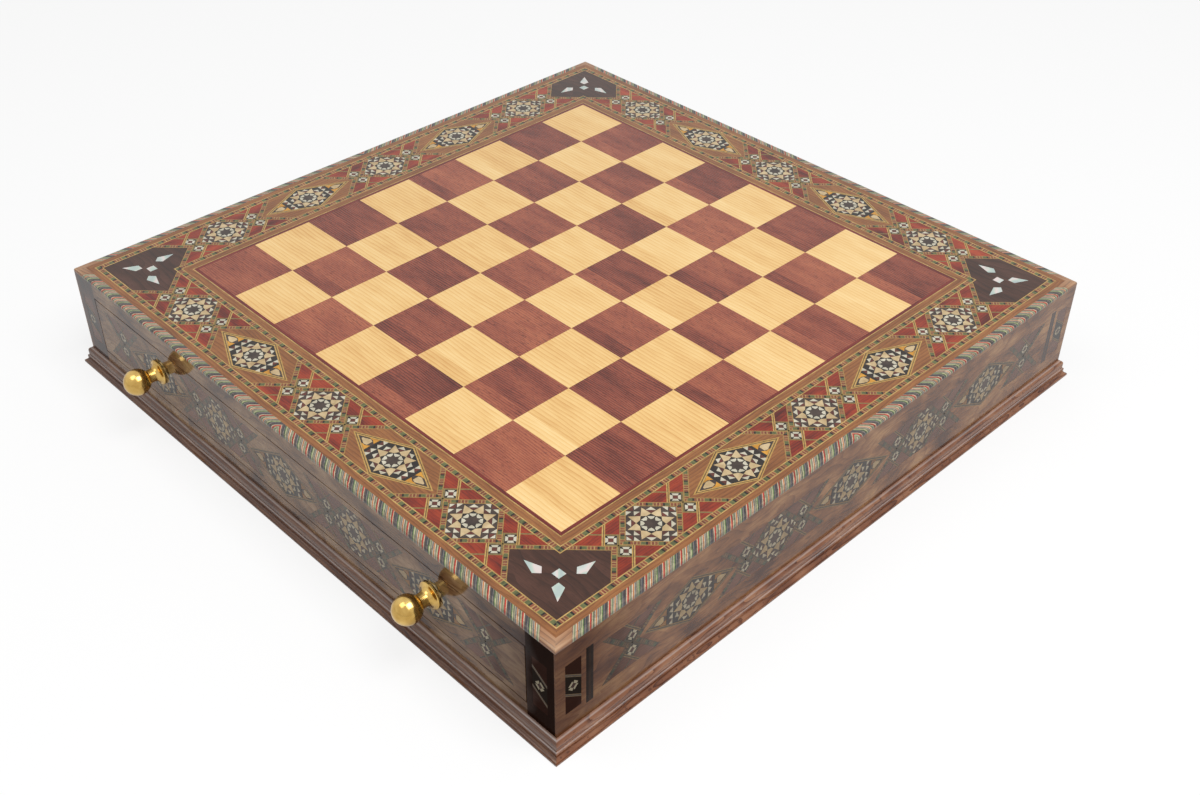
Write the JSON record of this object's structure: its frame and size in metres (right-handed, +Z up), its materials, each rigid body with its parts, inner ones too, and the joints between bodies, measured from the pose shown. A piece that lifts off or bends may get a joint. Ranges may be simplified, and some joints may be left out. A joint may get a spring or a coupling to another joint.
{
  "type": "chess box with drawers",
  "caption": "Low square box with an inlaid chessboard on top, star marquetry all round, a moulded foot, and a divided drawer with brass ball knobs for chessmen at the front and at the back",
  "frame": {"origin": "middle of the foot, on the surface that the box stands on", "axes": "+Z up through the playing field, -Y out of the front drawer, +X to the right of the player at the front"},
  "size_m": [0.4378, 0.4718, 0.07],
  "materials": {
    "carcass_wood": "planed, unpolished",
    "light_wood": "clear gloss lacquer",
    "red_wood": "clear gloss lacquer",
    "rosewood": "clear gloss lacquer",
    "pale_line": "clear gloss lacquer",
    "gold_line": "clear gloss lacquer",
    "walnut": "clear gloss lacquer",
    "mosaic": "mosaic of green, black, brown and red sticks, clear gloss lacquer",
    "dark_walnut": "clear gloss lacquer",
    "pearl": "mother-of-pearl, clear gloss lacquer",
    "ebony": "clear gloss lacquer",
    "bone": "bone, clear gloss lacquer",
    "padauk": "clear gloss lacquer",
    "striped_edging": "slanting stripes of red, orange, green and black sticks, clear gloss lacquer",
    "edge_wood": "clear gloss lacquer",
    "velvet": "velvet",
    "baize": "baize",
    "brass": "polished",
    "steel": "zinc plated"
  },
  "bodies": {
    "carcass": {"top_core": "carcass_wood", "light_squares": "light_wood", "dark_squares": "red_wood", "field_red_line": "rosewood", "top_pale_lines": "pale_line", "top_star_lines": "gold_line", "top_walnut": "walnut", "top_mosaic_strips": "mosaic", "top_slanting_strips": "mosaic", "top_corner_panels": "dark_walnut", "top_pearl": "pearl", "top_star_tiles": "ebony", "top_bone_stars": "bone", "top_padauk": "padauk", "striped_edging": "striped_edging", "edge_corners": "edge_wood", "side_walls": "carcass_wood", "side_veneers": "dark_walnut", "side_star_tiles": "ebony", "side_bone_stars": "bone", "side_slanting_strips": "mosaic", "side_padauk": "padauk", "side_lines": "gold_line", "corner_stiles": "dark_walnut", "top_rails": "dark_walnut", "bottom_rails": "dark_walnut", "partition": "carcass_wood", "drawer_runners": "carcass_wood", "drawer_guides": "carcass_wood", "drawer_kickers": "carcass_wood", "drawer_stops": "carcass_wood", "bottom_board": "carcass_wood", "base_baize": "baize", "base_moulding": "rosewood"},
    "front_drawer": {"front_drawer_face": "carcass_wood", "front_drawer_veneer": "dark_walnut", "front_drawer_star_tiles": "ebony", "front_drawer_bone_stars": "bone", "front_drawer_strips": "mosaic", "front_drawer_padauk": "padauk", "front_drawer_sides": "carcass_wood", "front_drawer_back": "carcass_wood", "front_drawer_bottom": "carcass_wood", "front_drawer_lining": "velvet", "front_drawer_dividers": "velvet", "front_drawer_knobs": "brass", "front_drawer_screws": "steel"},
    "back_drawer": {"back_drawer_face": "carcass_wood", "back_drawer_veneer": "dark_walnut", "back_drawer_star_tiles": "ebony", "back_drawer_bone_stars": "bone", "back_drawer_strips": "mosaic", "back_drawer_padauk": "padauk", "back_drawer_sides": "carcass_wood", "back_drawer_back": "carcass_wood", "back_drawer_bottom": "carcass_wood", "back_drawer_lining": "velvet", "back_drawer_dividers": "velvet", "back_drawer_knobs": "brass", "back_drawer_screws": "steel"}
  },
  "joints": [
    {"name": "front_drawer_slide", "type": "slide", "parent": "carcass", "child": "front_drawer", "axis": [0, -1, 0], "range_m": [0, 0.16]},
    {"name": "back_drawer_slide", "type": "slide", "parent": "carcass", "child": "back_drawer", "axis": [0, 1, 0], "range_m": [0, 0.16]}
  ]
}
